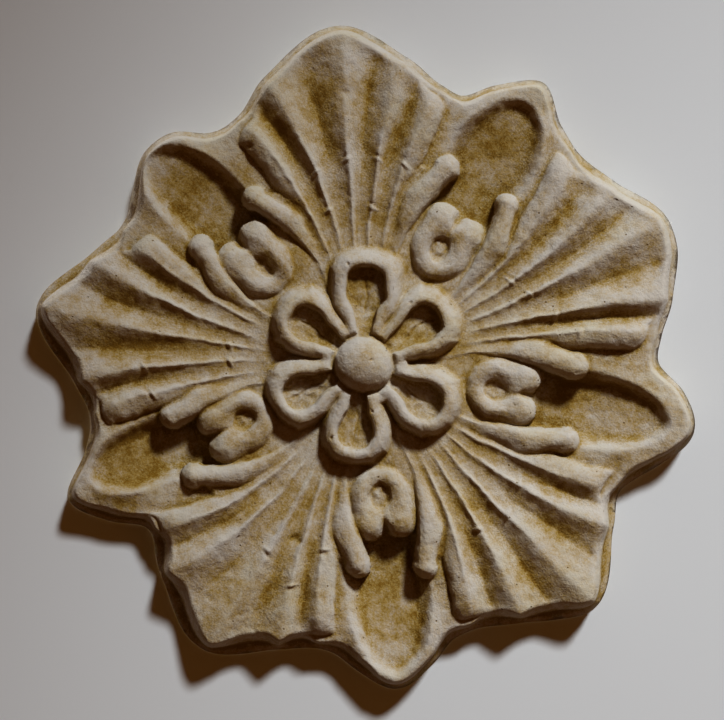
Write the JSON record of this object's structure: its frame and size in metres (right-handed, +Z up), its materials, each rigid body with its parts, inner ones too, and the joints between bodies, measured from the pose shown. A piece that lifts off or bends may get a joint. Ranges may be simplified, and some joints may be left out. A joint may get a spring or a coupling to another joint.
{
  "type": "carved stone plaque",
  "caption": "Round wall plaque of cast stone: pleated fans and scooped cups around a hollow-petalled flower with a ball at its middle.",
  "frame": {"origin": "on the flat back, straight behind the middle of the ball", "axes": "+Z up as the plaque hangs, the carved front towards -Y, +X to the right as the front is looked at"},
  "size_m": [0.2386, 0.03, 0.2397],
  "materials": {
    "stone": "matt cream cast stone with ochre patina wiped into the hollows"
  },
  "bodies": {
    "root": {"plaque": "stone"}
  },
  "joints": []
}
